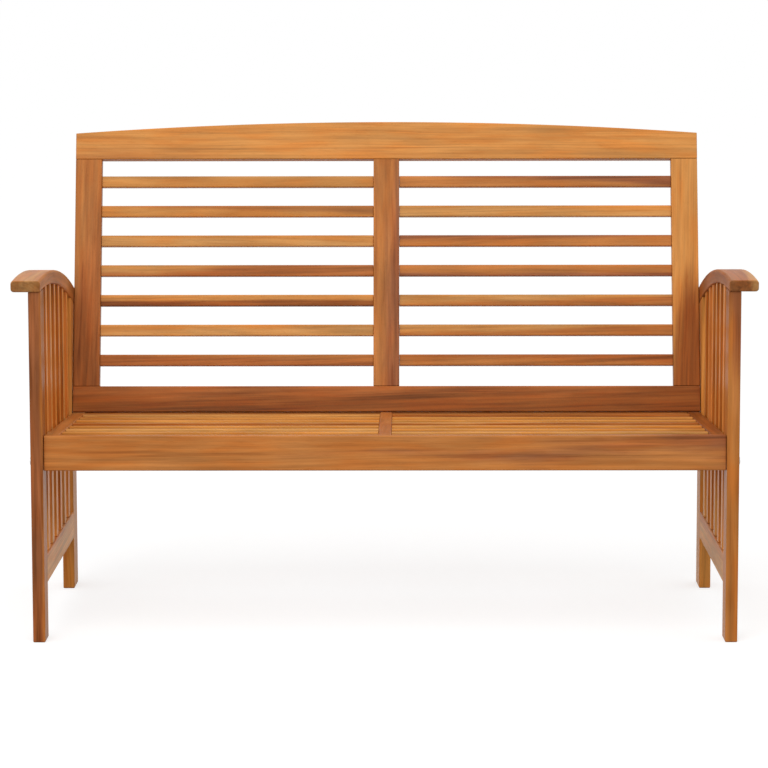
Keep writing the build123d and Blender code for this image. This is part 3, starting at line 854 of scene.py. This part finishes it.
class BenchStudio(bpy.types.PropertyGroup):
    """Camera and light."""

    eye: FloatVectorProperty(
        name="Eye",
        description="Place of the camera",
        default=(0.0336, -5.4483, 1.0768),
        subtype="TRANSLATION",
    )
    pitch: FloatProperty(
        name="Pitch", description="Angle that the camera looks down", default=0.12641, subtype="ANGLE"
    )
    turn: FloatProperty(
        name="Turn", description="Angle that the camera turns to its left", default=0.00650, subtype="ANGLE"
    )
    roll: FloatProperty(
        name="Roll", description="Angle that the camera leans to its right", default=0.0017, subtype="ANGLE"
    )
    lens: FloatProperty(
        name="Lens", description="Focal length on a 36 mm sensor", default=150.9, subtype="DISTANCE_CAMERA"
    )
    dome: FloatProperty(name="Dome", description="Light from all round", default=0.80, subtype="FACTOR")
    key: FloatProperty(name="Key", description="Light from above and in front", default=91.0, subtype="POWER")
    floor_glow: FloatProperty(
        name="Floor glow",
        description="White added to the floor as the camera sees it",
        default=0.68,
        subtype="FACTOR",
    )


class BENCH_OT_legs(bpy.types.Operator):
    """Lay the four legs, whose tops follow the armrests"""

    bl_idname = "bench.legs"
    bl_label = "Legs"

    def execute(self, context):
        sizes = context.scene.bench_sizes
        depths = {
            "front_leg": (LEG_LOW.y, LEG_HIGH.y),
            "rear_leg": (REAR_LEG_LOW.y, REAR_LEG_HIGH.y),
        }
        for name, limits in depths.items():
            for side_name, side in SIDES.items():
                node = f"{name}_{side_name}"
                corners = oblong(limits, mirrored((INNER_X, OUTER_X), side))
                span = (0.0, float(arm_underside(sum(limits) / 2)) - SHOULDER_GAP)
                lay_board(
                    node, UPRIGHT, STANDING_SIDE, span, corners, BOARD_TIMBERS[node], "side_wood",
                    ends=(sizes.edge_radius, sizes.end_radius), shape=meet_arm, polish=SMOOTH,
                )
        return {"FINISHED"}


class BENCH_OT_lower_rails(bpy.types.Operator):
    """Lay the rails between the legs, near the floor"""

    bl_idname = "bench.lower_rails"
    bl_label = "Lower Rails"

    def execute(self, context):
        span = (LEG_HIGH.y + SHOULDER_GAP, REAR_LEG_LOW.y - SHOULDER_GAP)
        for side_name, side in SIDES.items():
            node = f"lower_rail_{side_name}"
            corners = oblong(
                (LOWER_RAIL_LIFT, LOWER_RAIL_LIFT + LOWER_RAIL_HEIGHT),
                centred(side * LEG_X, LOWER_RAIL_THICKNESS),
            )
            lay_board(node, UPRIGHT, FRONT_TO_REAR, span, corners, BOARD_TIMBERS[node], "side_wood")
        return {"FINISHED"}


class BENCH_OT_armrests(bpy.types.Operator):
    """Lay the arched armrests"""

    bl_idname = "bench.armrests"
    bl_label = "Armrests"

    def execute(self, context):
        sizes = context.scene.bench_sizes
        round_edge, crisp_edge = sizes.arm_edge_radius, sizes.arm_inner_radius
        low_edges = {"right": (crisp_edge, round_edge), "left": (round_edge, crisp_edge)}
        for side_name, side in SIDES.items():
            node = f"armrest_{side_name}"
            corners = oblong(mirrored((INNER_X, ARM_HIGH.x), side), (0.0, ARM_THICKNESS))
            lay_board(
                node, BOW, ARM_ORDER, (ARM_LOW.y, ARM_HIGH.y), corners, BOARD_TIMBERS[node], "side_wood",
                spans=ARMREST_SPANS,
                edges=(*low_edges[side_name], round_edge, round_edge),
                ends=(crisp_edge, crisp_edge),
                holes=[head_recess(side)],
            )
        return {"FINISHED"}


class BENCH_OT_side_slats(bpy.types.Operator):
    """Lay the upright slats between the lower rails and the armrests"""

    bl_idname = "bench.side_slats"
    bl_label = "Side Slats"

    def execute(self, context):
        middles = spread(LEG_HIGH.y, REAR_LEG_LOW.y - LEG_HIGH.y, SIDE_SLAT_COUNT, SIDE_SLAT_WIDTH)
        foot = LOWER_RAIL_LIFT + LOWER_RAIL_HEIGHT + SHOULDER_GAP
        # Each side slat's timber paints shade on its front and light on its faces
        for name, side, middle, timber in slats(middles, SIDE_SLAT_TIMBERS_WITH_PAINTED_LIGHT):
            corners = oblong(centred(middle, SIDE_SLAT_WIDTH), centred(side * LEG_X, SIDE_SLAT_THICKNESS))
            span = (foot, float(arm_underside(middle)) - SHOULDER_GAP)
            lay_board(
                f"side_slat_{name}", UPRIGHT, STANDING_SIDE, span, corners, timber, "side_wood",
                shape=meet_arm, polish=SMOOTH,
            )
        return {"FINISHED"}


class BENCH_OT_seat_rails(bpy.types.Operator):
    """Lay the seat's front and rear rails and the three rails between them"""

    bl_idname = "bench.seat_rails"
    bl_label = "Seat Rails"

    def execute(self, context):
        rails = {
            "seat_front_rail": (0.0, SEAT_RAIL_THICKNESS, -1),
            "seat_rear_rail": (seat_rear_face, seat_rear_face, 1),
        }
        for node, (near, inner_face, into) in rails.items():
            corners = oblong((-SEAT_RAIL_HEIGHT, 0.0), (near, near + SEAT_RAIL_THICKNESS))
            holes = [
                nut_hole(SEAT, side * leg_nut_x, inner_face, -SEAT_BOLT_DROP, into) for side in SIDES.values()
            ]
            lay_board(
                node, SEAT, CROSS_ON_EDGE, (-PANEL_X, PANEL_X), corners, BOARD_TIMBERS[node], "seat_wood",
                holes=holes,
            )
        span = (SEAT_RAIL_THICKNESS + SHOULDER_GAP, seat_rear_face - SHOULDER_GAP)
        end_limits = (PANEL_X - SEAT_END_RAIL_WIDTH, PANEL_X)
        bearers = {
            "seat_end_rail_right": end_limits,
            "seat_end_rail_left": mirrored(end_limits, -1),
            "seat_centre_rail": centred(0.0, SEAT_CENTRE_RAIL_WIDTH),
        }
        for node, limits in bearers.items():
            corners = oblong((-SEAT_BEARER_HEIGHT, 0.0), limits)
            lay_board(node, SEAT, FRONT_TO_REAR, span, corners, BOARD_TIMBERS[node], "seat_wood")
        return {"FINISHED"}


class BENCH_OT_seat_slats(bpy.types.Operator):
    """Lay the slats of both halves of the seat, level with its rails"""

    bl_idname = "bench.seat_slats"
    bl_label = "Seat Slats"

    def execute(self, context):
        opening = seat_rear_face - SEAT_RAIL_THICKNESS
        depths = spread(SEAT_RAIL_THICKNESS, opening, SEAT_SLAT_COUNT, SEAT_SLAT_WIDTH)
        span = (SEAT_CENTRE_RAIL_WIDTH / 2 + SHOULDER_GAP, PANEL_X - SEAT_END_RAIL_WIDTH - SHOULDER_GAP)
        for name, side, depth, timber in slats(depths, SEAT_SLAT_TIMBERS):
            corners = oblong(centred(depth, SEAT_SLAT_WIDTH), (-SEAT_SLAT_THICKNESS, 0.0))
            lay_board(
                f"seat_slat_{name}", SEAT, CROSS_FLAT, mirrored(span, side), corners, timber, "seat_wood",
                polish=DRY,
            )
        return {"FINISHED"}


class BENCH_OT_back_rails(bpy.types.Operator):
    """Lay the back's bevelled bottom rail and arched top rail"""

    bl_idname = "bench.back_rails"
    bl_label = "Back Rails"

    def execute(self, context):
        span = (-PANEL_X, PANEL_X)
        bevelled = oblong((0.0, BACK_BOTTOM_RAIL_HEIGHT), (0.0, BACK_THICKNESS))
        bevelled[-1, 0] = back_bevel
        holes = [
            nut_hole(BACK, side * leg_nut_x, BACK_THICKNESS, BACK_BOLT_RISE, -1) for side in SIDES.values()
        ]
        lay_board(
            "back_bottom_rail", BACK, CROSS_ON_EDGE, span, bevelled, BOARD_TIMBERS["back_bottom_rail"],
            "back_wood", holes=holes,
        )
        corners = oblong((back_opening_top, back_end_height), (0.0, BACK_THICKNESS))
        lay_board(
            "back_top_rail", BACK, CROSS_ON_EDGE, span, corners, BOARD_TIMBERS["back_top_rail"], "back_wood",
            spans=TOP_RAIL_SPANS, shape=arch_top,
        )
        return {"FINISHED"}


class BENCH_OT_back_stiles(bpy.types.Operator):
    """Lay the three uprights of the back"""

    bl_idname = "bench.back_stiles"
    bl_label = "Back Stiles"

    def execute(self, context):
        span = (BACK_BOTTOM_RAIL_HEIGHT + SHOULDER_GAP, back_opening_top - SHOULDER_GAP)
        end_limits = (PANEL_X - BACK_STILE_WIDTH, PANEL_X)
        stiles = {
            "back_stile_right": (end_limits, (1,)),
            "back_stile_left": (mirrored(end_limits, -1), (-1,)),
            "back_centre_stile": (centred(0.0, BACK_CENTRE_STILE_WIDTH), ()),
        }
        for node, (limits, sides) in stiles.items():
            corners = oblong(limits, (0.0, BACK_THICKNESS))
            holes = [nut_hole(BACK, side * arm_nut_x, BACK_THICKNESS, arm_bolt_rise, -1) for side in sides]
            lay_board(
                node, BACK, STANDING_BACK, span, corners, BOARD_TIMBERS[node], "back_wood", holes=holes
            )
        return {"FINISHED"}


class BENCH_OT_back_slats(bpy.types.Operator):
    """Lay the slats of both halves of the back"""

    bl_idname = "bench.back_slats"
    bl_label = "Back Slats"

    def execute(self, context):
        lowest = BACK_BOTTOM_RAIL_HEIGHT + BACK_SLAT_LIFT
        rises = spread(lowest, BACK_OPENING_HEIGHT, BACK_SLAT_COUNT, BACK_SLAT_WIDTH)
        span = (BACK_CENTRE_STILE_WIDTH / 2 + SHOULDER_GAP, PANEL_X - BACK_STILE_WIDTH - SHOULDER_GAP)
        for name, side, rise, timber in slats(rises, BACK_SLAT_TIMBERS):
            corners = oblong(centred(rise, BACK_SLAT_WIDTH), centred(back_middle, BACK_SLAT_THICKNESS))
            lay_board(
                f"back_slat_{name}", BACK, CROSS_ON_EDGE, mirrored(span, side), corners, timber, "back_wood"
            )
        return {"FINISHED"}


class BENCH_OT_fasteners(bpy.types.Operator):
    """Plate the connector bolts and barrel nuts"""

    bl_idname = "bench.fasteners"
    bl_label = "Fasteners"

    def execute(self, context):
        steel = zinc_steel()
        for node in ("frame_bolts", "barrel_nuts"):
            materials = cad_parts[node].data.materials
            materials.clear()
            materials.append(steel)
        return {"FINISHED"}


def seen_directly(start):
    """1 for rays from the camera, from gloss and through glass, and 0 for light on its way to a surface."""
    kinds = ("Camera", "Glossy", "Transmission")
    camera, glossy, glass = (start.make("ShaderNodeLightPath", output=f"Is {kind} Ray") for kind in kinds)
    return camera.math("MAXIMUM", camera.math("MAXIMUM", camera, glossy), glass)


def studio_floor(glow):
    """Grey floor that keeps the bench's shadow, with white added where it is seen directly."""
    material, shader, start = new_material("studio floor")
    shader.inputs["Base Color"].default_value = FLOOR_GREY
    shader.inputs["Roughness"].default_value = 1.0
    shader.inputs["Specular IOR Level"].default_value = 0.0
    shader.inputs["Emission Strength"].default_value = 1.0
    link(glow * seen_directly(start), shader, "Emission Color")
    return material


def studio_world(dome):
    """White as seen directly, and an even dome of light for the bench."""
    world = bpy.data.worlds.new("studio")
    world.use_nodes = True
    background = world.node_tree.nodes["Background"]
    background.inputs["Color"].default_value = WHITE
    strength = dome + (1.0 - dome) * seen_directly(Signal(world.node_tree))
    link(strength, background, "Strength")
    return world


def put_lamp(name, place, aim, size, power):
    """A square area lamp at a place, tipped up from straight down and turned about Z to face a point."""
    data = bpy.data.lights.new(name, "AREA")
    data.size = size
    data.energy = power
    lamp = bpy.data.objects.new(name, data)
    lamp.location = place
    x, y, z = np.array(aim) - np.array(place)
    lamp.rotation_euler = (np.arccos(-z / np.linalg.norm((x, y, z))), 0.0, np.arctan2(-x, y))
    bpy.context.scene.collection.objects.link(lamp)


class BENCH_OT_studio(bpy.types.Operator):
    """Set up the floor, the light and the camera"""

    bl_idname = "bench.studio"
    bl_label = "Studio"

    def execute(self, context):
        studio = context.scene.bench_studio
        corners = oblong((-FLOOR_REACH, FLOOR_REACH), (-FLOOR_REACH, FLOOR_REACH))
        mesh = bpy.data.meshes.new("studio_floor")
        mesh.from_pydata(np.column_stack((corners, np.zeros(len(corners)))), [], [(0, 1, 2, 3)])
        mesh.materials.append(studio_floor(studio.floor_glow))
        floor = bpy.data.objects.new("studio_floor", mesh)
        context.scene.collection.objects.link(floor)
        context.scene.world = studio_world(studio.dome)
        context.scene.view_settings.view_transform = "Standard"
        put_lamp("key", KEY_PLACE, KEY_AIM, KEY_SIZE, studio.key)
        camera = bpy.data.objects.new("camera", bpy.data.cameras.new("camera"))
        camera.location = studio.eye
        camera.rotation_euler = (pi / 2 - studio.pitch, studio.roll, studio.turn)
        camera.data.lens = studio.lens
        context.scene.collection.objects.link(camera)
        context.scene.camera = camera
        return {"FINISHED"}


BUILDERS = (
    BENCH_OT_legs,
    BENCH_OT_lower_rails,
    BENCH_OT_armrests,
    BENCH_OT_side_slats,
    BENCH_OT_seat_rails,
    BENCH_OT_seat_slats,
    BENCH_OT_back_rails,
    BENCH_OT_back_stiles,
    BENCH_OT_back_slats,
    BENCH_OT_fasteners,
    BENCH_OT_studio,
)
SETTINGS = {
    "bench_sizes": BenchSizes,
    "bench_tones": BenchTones,
    "bench_finish": BenchFinish,
    "bench_studio": BenchStudio,
}


class BENCH_PT_builder(bpy.types.Panel):
    """Buttons for the bench's pieces and studio"""

    bl_idname = "BENCH_PT_builder"
    bl_label = "Garden Bench"
    bl_space_type = "VIEW_3D"
    bl_region_type = "UI"
    bl_category = "Bench"

    def draw(self, context):
        for builder in BUILDERS:
            self.layout.operator(builder.bl_idname)


def register():
    """Add the settings, the operators and the panel to Blender."""
    for made in (*SETTINGS.values(), *BUILDERS, BENCH_PT_builder):
        bpy.utils.register_class(made)
    for name, group in SETTINGS.items():
        setattr(bpy.types.Scene, name, PointerProperty(type=group))


def unregister():
    """Take the settings, the operators and the panel out of Blender."""
    for name in SETTINGS:
        delattr(bpy.types.Scene, name)
    for made in (BENCH_PT_builder, *reversed(BUILDERS), *reversed(SETTINGS.values())):
        bpy.utils.unregister_class(made)


def main():
    """Build the bench and its studio."""
    register()
    for builder in BUILDERS:
        group, name = builder.bl_idname.split(".")
        getattr(getattr(bpy.ops, group), name)()


if __name__ == "__main__":
    main()
